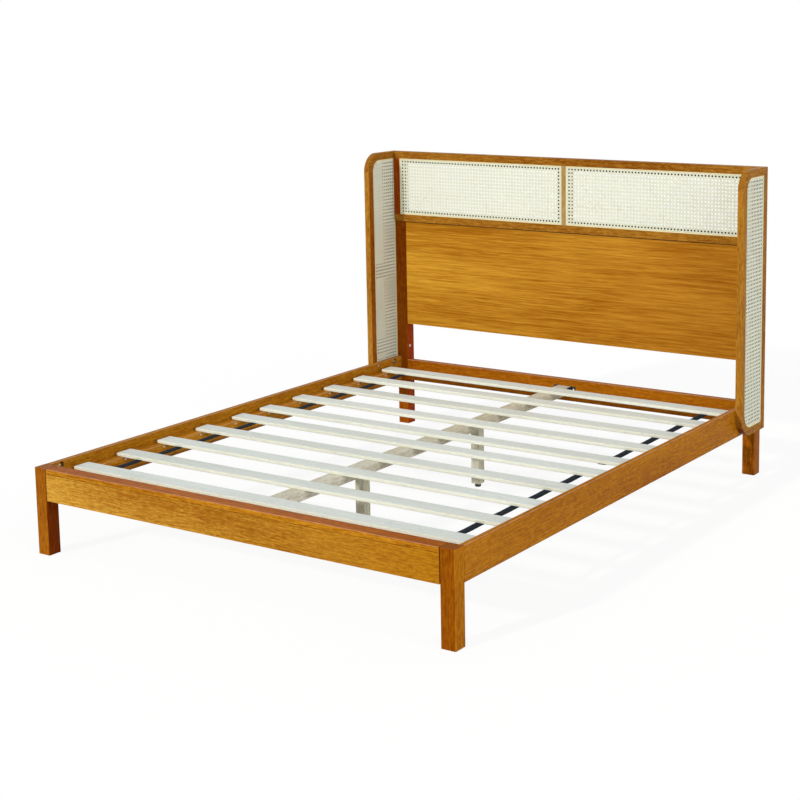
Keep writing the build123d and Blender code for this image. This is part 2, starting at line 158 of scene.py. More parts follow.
class Shade:
    """A shader socket that takes part in sums."""

    def __init__(self, finish, socket):
        self.finish = finish
        self.socket = socket

    __add__ = __radd__ = sum_node("ADD")
    __mul__ = __rmul__ = sum_node("MULTIPLY")
    __sub__ = sum_node("SUBTRACT")
    __rsub__ = sum_node("SUBTRACT", reflected=True)
    __truediv__ = sum_node("DIVIDE")
    __rtruediv__ = sum_node("DIVIDE", reflected=True)
    __pow__ = sum_node("POWER")
    __abs__ = sum_node("ABSOLUTE")
    least = sum_node("MINIMUM")
    most = sum_node("MAXIMUM")
    sine = sum_node("SINE")

    def steps(self, low, high):
        """Smooth rise from 0 at low to 1 at high."""
        inputs = {"Value": self, "From Min": low, "From Max": high}
        return self.finish.node("ShaderNodeMapRange", {"interpolation_type": "SMOOTHSTEP"}, inputs)

    def limited(self):
        """This value kept between 0 and 1."""
        return self.most(0.0).least(1.0)


class Finish:
    """The nodes of one material, or of the world."""

    def __init__(self, owner, ending="ShaderNodeOutputMaterial"):
        self.owner = owner
        self.ending = ending
        owner.use_nodes = True
        self.tree = owner.node_tree
        self.tree.nodes.clear()

    def node(self, kind, choices=None, inputs=None, output=0):
        """Any node: its type, its settings, the values or links of its sockets, and the output to use."""
        made = self.tree.nodes.new(kind)
        for name, value in (choices or {}).items():
            setattr(made, name, value)
        for name, value in (inputs or {}).items():
            self.feed(self.socket(made.inputs, name), value)
        return Shade(self, self.socket(made.outputs, output)) if made.outputs else None

    def socket(self, sockets, name):
        """A socket by its number, its name or its identifier."""
        if isinstance(name, int):
            return sockets[name]
        exact = [socket for socket in sockets if socket.identifier == name]
        return exact[0] if exact else sockets[name]

    def feed(self, socket, value):
        """Link a value that varies, or set one that doesn't."""
        if isinstance(value, Shade):
            self.tree.links.new(value.socket, socket)
        elif socket.type == "RGBA" and len(value) == 3:
            socket.default_value = (*value, 1.0)
        else:
            socket.default_value = value

    def mix(self, share, first, second):
        """Colour between two others."""
        inputs = {"Factor_Float": share, "A_Color": first, "B_Color": second}
        return self.node("ShaderNodeMix", {"data_type": "RGBA"}, inputs, "Result_Color")

    def darken(self, colour, amount):
        """Colour times one number that varies."""
        inputs = {0: colour, "Scale": amount}
        return self.node("ShaderNodeVectorMath", {"operation": "SCALE"}, inputs)

    def stretch(self, vector, scale):
        """Coordinates or a colour times a different number in each of the three places."""
        return self.node("ShaderNodeVectorMath", {"operation": "MULTIPLY"}, {0: vector, 1: scale})

    def noise(self, vector, scale=1.0, detail=2.0, roughness=0.5):
        """Soft noise from 0 to 1."""
        inputs = {"Vector": vector, "Scale": scale, "Detail": detail, "Roughness": roughness}
        return self.node("ShaderNodeTexNoise", {"noise_dimensions": "3D"}, inputs)

    def split(self, vector):
        """The three coordinates as numbers."""
        separate = self.node("ShaderNodeSeparateXYZ", None, {0: vector})
        outputs = separate.socket.node.outputs
        return [Shade(self, outputs[i]) for i in range(3)]

    def bump(self, height, strength, distance):
        """Normal of a small relief."""
        inputs = {"Height": height, "Strength": strength, "Distance": distance}
        return self.node("ShaderNodeBump", None, inputs)

    def surface(self, inputs):
        """Finish the material with one principled surface."""
        return self.close(self.node("ShaderNodeBsdfPrincipled", None, inputs))

    def close(self, shader):
        """Send the finished shader to the output."""
        self.node(self.ending, None, {"Surface": shader})
        return self.owner

    def seen_by(self, *kinds):
        """1 for rays of the named kinds, else 0."""
        first = self.node("ShaderNodeLightPath", None, None, kinds[0])
        for kind in kinds[1:]:
            first = first.most(self.node("ShaderNodeLightPath", None, None, kind))
        return first


PLAIN = (1.0, 1.0, 1.0)
GRAIN_TURNS = {"x": (0.0, 0.0, 0.0), "y": (0.0, 0.0, -math.pi / 2), "z": (0.0, math.pi / 2, 0.0)}

# Each kind of figure in the wood: how often it changes in a metre along and across the grain, and the detail
# and roughness of its noise
FIGURE = {
    "tone": (1.1, 6.0, 2.0, 0.5),
    "warp": (2.2, 14.0, 3.0, 0.6),
    "streak": (16.0, 170.0, 4.0, 0.65),
    "mottle": (46.0, 150.0, 3.0, 0.6),
    "dash": (44.0, 420.0, 2.0, 0.5),
    "pale_dash": (60.0, 300.0, 1.0, 0.5),
    "pores": (40.0, 1100.0, 1.0, 0.5),
    "crack": (3.2, 420.0, 2.0, 0.4),
    "cracked_place": (4.0, 9.0, 1.0, 0.5),
}
RING_TURN = 760.0
RING_WARP = 42.0
PITH_DEPTH = 50 * MM
PITH_STEP = 13 * MM
# Colour of the painted highlight on eased edges that face up
EDGE_HIGHLIGHT_COLOUR = (0.72, 0.50, 0.40)
LACQUER_TINT = (1.0, 0.60, 0.25)
LACQUER_SHINE = 0.035
BARE_SHINE = 0.2
LEVEL_BLUR = 0.2 * MM


def grain_place(finish, axis, seed):
    """Object coordinates turned so that the grain runs along X, moved on for each board."""
    source = finish.node("ShaderNodeTexCoord", None, None, "Object")
    shift = (0.37 * seed, 0.211 * seed % 1.7, 0.173 * seed % 1.3)
    inputs = {"Vector": source, "Rotation": GRAIN_TURNS[axis], "Location": shift}
    return finish.node("ShaderNodeMapping", {"vector_type": "POINT"}, inputs)


def eased_edges(finish):
    """Masks of a board's eased edges, whose faces point between two axes: facing up, and the rest."""
    normal = finish.node("ShaderNodeNewGeometry", None, None, "True Normal")
    along_x, along_y, along_z = finish.split(normal)
    edge = 1.0 - abs(along_x).most(abs(along_y)).most(abs(along_z)).steps(0.78, 0.97)
    upper = along_z.steps(0.3, 0.6)
    return edge * upper, edge * (1.0 - upper)


def coordinate(finish, axis):
    """One object coordinate, along an axis."""
    source = finish.node("ShaderNodeTexCoord", None, None, "Object")
    return finish.split(source)["xyz".index(axis)]


def facing(finish, axis):
    """How much a face looks along an axis, from -1 to 1."""
    normal = finish.node("ShaderNodeNewGeometry", None, None, "True Normal")
    return finish.split(normal)["xyz".index(axis)]


def band(finish, axis, low, high):
    """1 between two levels on either side of the middle, else 0."""
    place = abs(coordinate(finish, axis))
    return place.steps(low - LEVEL_BLUR, low) * (1.0 - place.steps(high, high + LEVEL_BLUR))


def sunk(finish, axis, low, high):
    """1 on faces that look along an axis and lie in such a band, else 0."""
    return band(finish, axis, low, high) * abs(facing(finish, axis)).steps(0.5, 0.7)


def wood(name, axis, seed, light, dark, roughness, lacquer, figure=1.0, pale=0.0, edge_shade=0.0, painted_recess_shade=None,
         stain=PLAIN, cracks=0.0, run=1.0, ends=None, side=None, gap_shade=None):
    """Planed wood: broad tone, growth rings round a far pith, streaks, flecks and pores along the grain.

    The two shares after the figure paint the eased edges: the first lightens those that face up, a painted
    highlight, and the second darkens the others, painted shade. The recess shade is the axis and the two
    levels between which the wood is painted nearly black, as shade behind the cane. run below 1 draws the
    figure out along the grain. ends are colour factors at the left and right end of a wide board, blended
    along it: painted light that falls off from one end to the other. side is an axis, with its sign if it is
    minus, and the colour
    factor of the faces that look along it: painted light on those faces where it is above 1 and painted shade
    where it is below 1. The gap shade is the axis and the two levels of a thin band of painted shade in the
    gap where a board meets a leg.
    """
    finish = Finish(bpy.data.materials.new(name))
    along = grain_place(finish, axis, seed)

    def cells(kind, drawn=1.0):
        """Noise of one kind of figure, longer along the grain where drawn is below 1."""
        lengthwise, sideways, detail, rough = FIGURE[kind]
        cell = finish.stretch(along, (lengthwise * drawn, sideways, sideways))
        return finish.noise(cell, 1.0, detail, rough)

    _, across, depth = finish.split(along)
    pith = PITH_DEPTH + PITH_STEP * (seed % 5)
    radius = ((across * across) + (depth + pith) * (depth + pith)) ** 0.5
    rings = (radius * RING_TURN + cells("warp") * RING_WARP).sine()
    streak = cells("streak", run)
    mottle = cells("mottle", run)
    dash = cells("dash", run).steps(0.56, 0.70)
    pale_dash = cells("pale_dash", run).steps(0.58, 0.70)
    pores = cells("pores").steps(0.60, 0.76)
    # A board's own stain; for a few boards it is painted shade, as noted where they are listed
    light, dark = (tuple(c * k for c, k in zip(shade, stain)) for shade in (light, dark))
    drift = (cells("tone") - 0.5) * 1.3 + (streak - 0.5) * (1.6 * figure) + pale_dash * (0.34 * figure)
    share = 0.44 + rings * (0.10 * figure) + (mottle - 0.5) * (1.5 * figure) + drift
    colour = finish.mix(share.limited(), dark, light)
    colour = finish.darken(colour, 1.0 - pores * 0.15 - dash * (0.26 * figure))
    # Painted light: a colour factor that changes from the left end of the board to the right, as light
    # falling off
    if ends:
        share = (coordinate(finish, "x") * 0.65 + 0.5).limited()
        colour = finish.stretch(colour, finish.mix(share, *ends))
    # Painted light and shade: faces that look along the given axis get their own colour factor, which
    # lightens them above 1 and darkens them below 1
    if side:
        way, side_painted_light = side[0], finish.stretch(colour, side[1])
        toward = facing(finish, way[-1]) * (-1.0 if way[0] == "-" else 1.0)
        colour = finish.mix(toward.steps(0.5, 0.7), colour, side_painted_light)
    if cracks:
        crack = cells("crack").steps(0.68, 0.73) * cells("cracked_place").steps(0.50, 0.62)
        colour = finish.mix(crack * cracks, colour, tuple(c * 0.45 for c in dark))
    # Painted highlight on the eased edges that face up, and painted shade on the other eased edges
    if pale or edge_shade:
        upper, other = eased_edges(finish)
        if pale:
            colour = finish.mix(upper * pale, colour, EDGE_HIGHLIGHT_COLOUR)
        if edge_shade:
            colour = finish.darken(colour, 1.0 - other * edge_shade)
    # Painted shade: the wood in the band behind the cane is made nearly black on faces that look along the
    # axis
    if painted_recess_shade:
        colour = finish.darken(colour, 1.0 - sunk(finish, *painted_recess_shade) * 0.93)
    # Painted shade: a thin dark band on the board in the gap where it meets a leg
    if gap_shade:
        colour = finish.darken(colour, 1.0 - band(finish, *gap_shade) * 0.85)
    relief = rings * 0.1 + streak * 0.5 - pores * 0.8
    return finish.surface({
        "Base Color": colour,
        "Roughness": (roughness + (streak - 0.5) * 0.16 + pores * 0.08).limited(),
        "Specular IOR Level": LACQUER_SHINE if lacquer else BARE_SHINE,
        "Specular Tint": LACQUER_TINT if lacquer else PLAIN,
        "Normal": finish.bump(relief, 0.2, 0.00025),
    })


def cane_finish(name):
    """Peeled cane: cream, with a slightly different tone for each strand and faint lengthwise fibres.

    The border and the reed, whose second UV coordinate is below zero, are yellower.
    """
    finish = Finish(bpy.data.materials.new(name))
    place = finish.node("ShaderNodeUVMap", {"uv_map": "UVMap"}, None, "UV")
    strand = finish.noise(finish.stretch(place, (2.0, 1.0, 1.0)), 1.0, 1.0)
    fibre = finish.noise(finish.stretch(place, (60.0, 9.0, 1.0)), 1.0, 2.0)
    share = (strand - 0.5) * 1.6 + (fibre - 0.5) * 0.8 + 0.5
    colour = finish.mix(share.limited(), (0.81, 0.81, 0.62), (0.905, 0.932, 0.82))
    rim = 1.0 - finish.split(place)[1].steps(-0.9, -0.5)
    colour = finish.mix(rim * 0.75, colour, (0.80, 0.68, 0.34))
    knuckle = finish.noise(finish.stretch(place, (7.0, 1.3, 1.0)), 1.0, 0.0).steps(0.74, 0.80)
    colour = finish.mix(knuckle * 0.4, colour, (0.62, 0.48, 0.24))
    return finish.surface({
        "Base Color": colour,
        "Roughness": (0.46 + fibre * 0.14).limited(),
        "Specular IOR Level": 0.4,
        "Normal": finish.bump(fibre, 0.15, 0.0001),
    })


def webbing_finish(name):
    """Woven band: twill ribs across its width and ridges along it, in near-black navy yarn."""
    finish = Finish(bpy.data.materials.new(name))
    place = finish.node("ShaderNodeUVMap", {"uv_map": "UVMap"}, None, "UV")
    across, along, _ = finish.split(place)
    twill = (across * 4200.0 + along * 2600.0).sine()
    rows = (along * 5200.0).sine()
    fuzz = finish.noise(finish.stretch(place, (900.0, 900.0, 1.0)), 1.0, 2.0)
    share = (0.5 + twill * 0.25 + rows * 0.15 + (fuzz - 0.5) * 0.6).limited()
    colour = finish.mix(share, (0.002, 0.004, 0.008), (0.008, 0.017, 0.028))
    return finish.surface({
        "Base Color": colour,
        "Roughness": (0.78 + fuzz * 0.15).limited(),
        "Specular IOR Level": 0.15,
        "Normal": finish.bump(twill * 0.5 + rows * 0.4 + fuzz * 0.2, 0.5, 0.0004),
    })


def metal_finish(name, light, dark, metallic, roughness, grit, depth):
    """Plated or coated metal, or moulded plastic: a little uneven in tone and gloss, with a fine grit."""
    finish = Finish(bpy.data.materials.new(name))
    source = finish.node("ShaderNodeTexCoord", None, None, "Object")
    cloud = finish.noise(source, 38.0, 3.0, 0.6)
    grain = finish.noise(source, grit, 2.0, 0.5)
    colour = finish.mix((cloud * 0.7 + grain * 0.3).limited(), dark, light)
    return finish.surface({
        "Base Color": colour,
        "Metallic": metallic,
        "Roughness": (roughness + (cloud - 0.5) * 0.22 + (grain - 0.5) * 0.1).limited(),
        "Normal": finish.bump(grain, 0.3, depth),
    })


def dress(node, material):
    """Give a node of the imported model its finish."""
    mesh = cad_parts[node].data
    mesh.materials.clear()
    mesh.materials.append(material)


# Surfaces from arrays


def joined_up(*parts):
    """Arrays of one coordinate each, stretched to one shape and put together."""
    return np.stack(np.broadcast_arrays(*parts), -1)


def add_piece(name, points, faces, material, uv=None):
    """Smooth mesh object from an array of points and a list of faces, riding on the bed."""
    mesh = bpy.data.meshes.new(name)
    mesh.from_pydata(points.tolist(), [], faces)
    mesh.polygons.foreach_set("use_smooth", np.ones(len(mesh.polygons), bool))
    if uv is not None:
        corner = np.zeros(len(mesh.loops), np.int32)
        mesh.loops.foreach_get("vertex_index", corner)
        layer = mesh.uv_layers.new(name="UVMap")
        layer.data.foreach_set("uv", uv.reshape(-1, 2)[corner].astype(np.float32).ravel())
    mesh.materials.append(bpy.data.materials[material])
    mesh.validate()
    mesh.update()
    piece = bpy.data.objects.new(name, mesh)
    bpy.context.scene.collection.objects.link(piece)
    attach(piece, BODY)
    return piece


def tube_faces(inside):
    """Quads of tubes on a grid of strand, step and side, kept where both steps are inside, with end caps.

    A side quad joins a step to the next, and a cap closes each end. A step with no neighbour inside is left
    out, because it would leave two caps and no side.
    """
    joined = inside[:, :-1] & inside[:, 1:]
    inside = np.zeros_like(inside)
    inside[:, :-1] |= joined
    inside[:, 1:] |= joined
    index = np.arange(inside.size).reshape(inside.shape)
    near, far = index[:, :-1], index[:, 1:]
    quads = np.stack([near, far, np.roll(far, -1, 2), np.roll(near, -1, 2)], -1)[joined]
    first = inside.copy()
    first[:, 1:] &= ~inside[:, :-1]
    last = inside.copy()
    last[:, :-1] &= ~inside[:, 1:]
    starts = index[first[:, :, 0]]
    ends = index[last[:, :, 0]][:, ::-1]
    return quads, np.concatenate([starts, ends])


def carried(shape):
    """Quads along stations of a closed section, and its two end faces, for points of that shape."""
    index = np.arange(shape[0] * shape[1]).reshape(shape)
    near, far = index[:-1], index[1:]
    quads = np.stack([near, far, np.roll(far, -1, 1), np.roll(near, -1, 1)], -1).reshape(-1, 4)
    return quads, [index[0].tolist(), index[-1][::-1].tolist()]


# Woven cane

STRAND_TUCK = 2 * MM
LATTICE_MARGIN = 1 * MM
SLANT_LIFT = 1.15
BORDER_LOW = -0.2 * MM
BORDER_HIGH = 0.4 * MM
BORDER_SLOPE = 0.8 * MM
REED_SEAT = 0.6 * MM
REED_RISE = 1.2 * MM


def corner_places(rect):
    """The four corners of a rectangle and the way inwards from each, going round."""
    u0, v0, u1, v1 = rect
    return ((u0, v0, 1, 1), (u1, v0, -1, 1), (u1, v1, -1, -1), (u0, v1, 1, -1))


def outline_depth(u, v, rect, radii):
    """Depth inside a rectangle with rounded corners.

    It is the least distance to the four sides, and in a corner the radius less the distance to its centre.
    """
    u0, v0, u1, v1 = rect
    depth = np.minimum(np.minimum(u - u0, u1 - u), np.minimum(v - v0, v1 - v))
    for (cu, cv, su, sv), radius in zip(corner_places(rect), radii):
        a = (u - cu) * su
        b = (v - cv) * sv
        rounded = radius - np.hypot(radius - a, radius - b)
        depth = np.where((a < radius) & (b < radius), np.minimum(depth, rounded), depth)
    return depth


def outline_path(rect, radii, steps=9):
    """Centre, radius and direction of each point of a rounded outline.

    A point at depth d is the centre plus the direction times the radius less d, and a square corner is one
    point whose direction is the diagonal of its two sides.
    """
    centres, reach, ways = [], [], []
    for k, ((cu, cv, su, sv), radius) in enumerate(zip(corner_places(rect), radii)):
        if radius > 0:
            angles = math.pi + k * math.pi / 2 + np.linspace(0, math.pi / 2, steps)
            way = np.stack([np.cos(angles), np.sin(angles)], -1)
        else:
            way = np.array([[-su, -sv]], float)
        centres.append(np.tile([cu + su * radius, cv + sv * radius], (len(way), 1)))
        reach.append(np.full(len(way), radius))
        ways.append(way)
    return np.concatenate(centres), np.concatenate(reach), np.concatenate(ways)


def edging(rect, radii, profile):
    """A closed profile of depth and height carried round a rounded outline, as points, UVs and quads.

    The second UV coordinate is below zero, which tells the finish that this is the border.
    """
    centres, reach, ways = outline_path(rect, radii)
    depth, height = np.array(profile).T
    flat = centres[:, None, :] + (reach[:, None] - depth)[..., None] * ways[:, None, :]
    points = joined_up(flat[..., 0], flat[..., 1], height)
    run = np.linalg.norm(np.diff(flat[:, 0], axis=0), axis=1)
    length = np.concatenate([[0.0], np.cumsum(run)])
    uv = joined_up(length[:, None], -1 - depth * 400)
    index = np.arange(depth.size * len(flat)).reshape(len(flat), -1)
    ahead = np.roll(index, -1, 0)
    quads = np.stack([index, ahead, np.roll(ahead, -1, 1), np.roll(index, -1, 1)], -1)
    return points.reshape(-1, 3), uv.reshape(-1, 2), quads.reshape(-1, 4)


def ribbons(u, v, height, across, width, thickness, rect, radii, first):
    """Flat ribbons along lines given by arrays of strand and step: a flat back and a raised middle.

    across is the ribbon's direction of width. A strand is kept where it lies deep enough in the opening.
    """
    inside = outline_depth(u, v, rect, radii) > STRAND_TUCK
    side = np.array([-0.5, 0.5, 0.0]) * width
    rise = np.array([-0.5, -0.5, 0.5]) * thickness
    points = joined_up(
        u[..., None] + side * across[0], v[..., None] + side * across[1], height[..., None] + rise)
    length = np.hypot(u - u[:, :1], v - v[:, :1])
    number = first + np.arange(len(u))[:, None, None]
    uv = joined_up(length[..., None], number + side * 0)
    quads, caps = tube_faces(np.repeat(inside[..., None], 3, 2))
    return points.reshape(-1, 3), uv.reshape(-1, 2), quads, caps


def lattice(low, high, edge, pitch):
    """Places of the strand pairs between two sides, centred, with one beyond each side."""
    count = int((high - low - 2 * edge) / pitch)
    start = (low + high - count * pitch) / 2
    return start + pitch * np.arange(-1, count + 2)


def weave(rect, radii):
    """Octagonal cane: upright and level pairs in plain weave, and two sets of slanting strands through them.

    The slanting strands cross between two pairs. One set lies over the uprights and under the levels, the
    other the other way round, as a cosine of the place along the strand.
    """
    size = settings("cane")
    pitch, pair = size.pitch, size.pair
    columns = lattice(rect[0], rect[2], size.edge + LATTICE_MARGIN, pitch)
    rows = lattice(rect[1], rect[3], size.edge + LATTICE_MARGIN, pitch)
    lift = 0.5 * size.thickness
    parts = []
    first = 0

    def lay(u, v, height, across, width):
        """Add one set of strands, and give back how many came before the next."""
        u, v, height = np.broadcast_arrays(u, v, height)
        parts.append(ribbons(u, v, height, across, width, size.thickness, rect, radii, first))
        return first + len(u)

    def steps_between(places):
        """The places of one pair after another, and halfway to the next."""
        return (places[:, None] + (-pair / 2, pair / 2, pitch / 2)).ravel()

    for side in (-1, 1):
        beat = np.array([-side, side, 0.0]) * lift
        u = columns[:, None] + side * pair / 2
        first = lay(u, steps_between(rows), np.tile(beat, len(rows)), (1, 0), size.strand)
        v = rows[:, None] + side * pair / 2
        first = lay(steps_between(columns), v, np.tile(-beat, len(columns)), (0, -1), size.strand)
    quarter = columns[0] + pitch / 4 * np.arange(4 * (len(columns) - 1) + 1)
    reach = len(rows) + len(columns)
    for way in (-1, 1):
        start = rows[0] + pitch / 2 + pitch * np.arange(-reach, 2 * reach)
        v = start[:, None] + way * (quarter - columns[0])
        v = v[((v > rect[1] - pitch) & (v < rect[3] + pitch)).any(1)]
        height = way * SLANT_LIFT * lift * np.cos(2 * math.pi * (quarter - columns[0]) / pitch)
        first = lay(quarter, v, height, (way * math.sqrt(0.5), -math.sqrt(0.5)), size.slant)
    return parts


def cane_sheet(name, node, rect, radii, place):
    """One woven sheet with its closed border and the reed that holds it, in place of a node."""
    size = settings("cane")
    parts = weave(rect, radii)
    border = [
        (0.0, BORDER_LOW), (0.0, BORDER_HIGH), (size.edge, BORDER_HIGH),
        (size.edge + BORDER_SLOPE, BORDER_LOW)]
    half = size.reed / 2
    arc = np.linspace(0, math.pi, 7)
    reed = [(half - half * math.cos(a), REED_SEAT + REED_RISE * math.sin(a)) for a in arc]
    points, uvs, faces, caps = [], [], [], []
    start = 0
    for part in parts + [edging(rect, radii, border), edging(rect, radii, reed)]:
        points.append(part[0])
        uvs.append(part[1])
        faces.append(part[2] + start)
        if len(part) > 3:
            caps.append(part[3] + start)
        start += len(part[0])
    points, uvs = np.concatenate(points), np.concatenate(uvs)
    loops = np.concatenate([np.concatenate(faces).ravel(), np.concatenate(caps).ravel()])
    used, loops = np.unique(loops, return_inverse=True)
    quad_count = sum(len(part) for part in faces)
    quads = loops[:quad_count * 4].reshape(-1, 4)
    ends = loops[quad_count * 4:].reshape(-1, 3)
    piece = add_piece(
        name, place(points[used]), quads.tolist() + ends.tolist(), "peeled_cane",
        uvs[used])
    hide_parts(node)
    return piece


# Straps, staples and screws

STAPLE_SPAN = 11 * MM
STAPLE_WIRE = 1.1 * MM
STAPLE_RISE = 1.6 * MM
STAPLE_SINK = 0.5 * MM
STAPLES_ON_SLAT = (0.3, 0.7)
LEDGER_SCREW_DROP = 8 * MM
WING_SCREW_PLACE = 840.5 * MM
WING_SCREW_DROP = 12 * MM
PLATE_SCREW_REACH = 41.2 * MM
PLATE_SCREW_LEVEL = 0.6
STRIP_INSET = 1 * MM
STRIP_END_GAP = 0.5 * MM


def strap(places, x, z, width, thickness, sag):
    """A flat band carried along the slats: it hangs between two slats as a squared sine, and is flat on them.

    places are the low and high side of each slat, and z is the slats' underside.
    """
    stations, drop = [], []
    for k, (low, high) in enumerate(places):
        stations.append(np.linspace(low, high, 5))
        drop.append(np.zeros(5))
        if k + 1 < len(places):
            share = np.linspace(0, 1, 14)[1:-1]
            stations.append(high + (places[k + 1][0] - high) * share)
            drop.append(np.sin(math.pi * share) ** 2)
    y, drop = np.concatenate(stations), np.concatenate(drop) * sag
    half, edge = width / 2, thickness * 0.4
    profile = np.array([
        (-half, -thickness / 2), (-half + edge, -thickness), (half - edge, -thickness),
        (half, -thickness / 2), (half - edge, 0.0), (-half + edge, 0.0)])
    points = joined_up(x + profile[:, 0], y[:, None], z - drop[:, None] + profile[:, 1])
    uv = joined_up(profile[:, 0], y[:, None])
    return points.reshape(-1, 3), uv.reshape(-1, 2), *carried((len(y), len(profile)))


def staples(centres):
    """Staple crowns: a six-sided wire carried along a low arch, with its ends turned up into the slat."""
    share = np.linspace(0, 1, 8)
    along = (share - 0.5) * STAPLE_SPAN
    arch = np.minimum(1.0, 5 * np.minimum(share, 1 - share)) ** 0.5
    turn = -np.linspace(0, 2 * math.pi, 6, endpoint=False)
    ring = np.stack([np.cos(turn), np.sin(turn)], -1) * STAPLE_WIRE / 2
    x, y, z = np.array(centres).T[..., None, None]
    rise = (1 - arch)[:, None] * STAPLE_RISE
    points = joined_up(x + along[:, None], y + ring[:, 0], z + rise + ring[:, 1])
    quads, caps = tube_faces(np.ones(points.shape[:3], bool))
    return points.reshape(-1, 3), quads, caps


def screw_head(sides=32, rings=9):
    """A round screw head about +Z: height is a dome over the radius, cut by a cross-shaped recess.

    The recess is deepest in the middle, and each arm of the cross fades out towards the rim.
    """
    radius = np.concatenate([[1.0, 1.0], np.linspace(0.96, 0.0, rings)[:-1]])[:, None]
    angle = np.linspace(0, 2 * math.pi, sides, endpoint=False)[None]
    dome = np.sqrt(np.maximum(0.0, 1.0 - (radius * 0.92) ** 2)) * 0.72 + 0.08
    near_arm = np.minimum(np.abs(radius * np.cos(angle)), np.abs(radius * np.sin(angle)))
    cut = np.clip((0.17 - near_arm) / 0.08, 0, 1) * np.clip((0.66 - radius) / 0.2, 0, 1)
    height = dome - 0.55 * cut
    height[0] = -0.1
    points = joined_up(radius * np.cos(angle), radius * np.sin(angle), height)
    points = np.concatenate([points.reshape(-1, 3), [[0.0, 0.0, dome[-1, 0] - 0.6]]])
    index = np.arange(radius.size * sides).reshape(-1, sides)
    near, far = index[:-1], index[1:]
    quads = np.stack([near, np.roll(near, -1, 1), np.roll(far, -1, 1), far], -1).reshape(-1, 4)
    last = index[-1]
    fan = np.stack([last, np.roll(last, -1), np.full(sides, len(points) - 1)], -1)
    return points, quads, fan, index[0]


def screws_at(places, facing):
    """Screw heads at many places, all facing one way: the head's own axis turned to that way."""
    size = settings("screws")
    points, quads, fan, rim = screw_head()
    turn = np.array(Vector((0, 0, 1)).rotation_difference(Vector(facing)).to_matrix())
    shaped = points * (size.head / 2, size.head / 2, size.height) @ turn.T
    every, faces = [], []
    for k, place in enumerate(places):
        start = k * len(points)
        every.append(shaped + np.array(place))
        faces += (quads + start).tolist() + (fan + start).tolist() + [(rim[::-1] + start).tolist()]
    return np.concatenate(every), faces


def bar_between(x0, x1, y, half, z0, z1, sides=16):
    """A strip along X whose section is a flattened oval: cosine and sine to the power of a quarter."""
    turn = -np.linspace(0, 2 * math.pi, sides, endpoint=False) + math.pi / sides
    flat = np.sign(np.cos(turn)) * np.abs(np.cos(turn)) ** 0.25 * half
    rise = np.sign(np.sin(turn)) * np.abs(np.sin(turn)) ** 0.25 * (z1 - z0) / 2
    x = np.linspace(x0, x1, 9)
    points = joined_up(x[:, None], y + flat, (z0 + z1) / 2 + rise)
    return points.reshape(-1, 3), *carried((len(x), sides))


# Finishes of the imported parts

# Stains and seeds differ from board to board, as the boards of the real bed do; a few stains and the end
# and side factors are painted light and shade instead, each noted where it is given
HONEY = (
    ("side_rail_left", ("left_side_rail",), "y", 1, (0.92, 0.86, 0.8), {}),
    ("side_rail_right", ("right_side_rail",), "y", 2, (0.94, 0.80, 0.55), {}),
    # The foot board's end factors are painted light: lighter and yellower at the left end, darker at the
    # right
    ("foot_board", ("foot_board",), "x", 3, PLAIN, {"ends": ((1.26, 1.50, 3.4), (0.82, 0.74, 0.5))}),
    # The cap's top faces are darker: painted shade on the top
    ("foot_cap", ("foot_cap",), "x", 4, (1.06, 1.0, 0.9), {"side": ("z", (0.84, 0.56, 0.2))}),
    # The left front leg's faces towards +X are darker: painted shade under the bed
    ("front_leg_left", ("left_front_leg",), "z", 6, (0.80, 0.62, 0.42), {"side": ("x", (0.45, 0.24, 0.15))}),
    # The right front leg's stain is painted shade, and its faces towards +X are lighter: painted light
    ("front_leg_right", ("right_front_leg",), "z", 7, (0.60, 0.38, 0.12), {"side": ("x", (1.6, 2.1, 1.2))}),
    # The left rear leg's faces towards +X are redder and darker: painted shade
    ("rear_leg_left", ("left_rear_leg",), "z", 10, (0.76, 0.44, 0.3), {"side": ("x", (1.03, 0.57, 0.5))}),
    ("rear_leg_right", ("right_rear_leg",), "z", 8, (0.74, 0.52, 0.4), {}),
    ("head_rail", ("head_rail",), "x", 5, (0.78, 0.56, 0.35), {}),
    ("ledgers", ("left_ledger", "right_ledger"), "y", 9, (1.05, 1.02, 1.3), {}),
)
# Painted light on the veneer panel: lighter towards its left end, darker towards its right
PANEL_LIGHT_FALLOFF = ((1.22, 1.36, 2.1), (1.0, 0.94, 1.4))
# Width of the painted shade in the gap where a board meets a leg
GAP_SHADE_WIDTH = 2.2 * MM
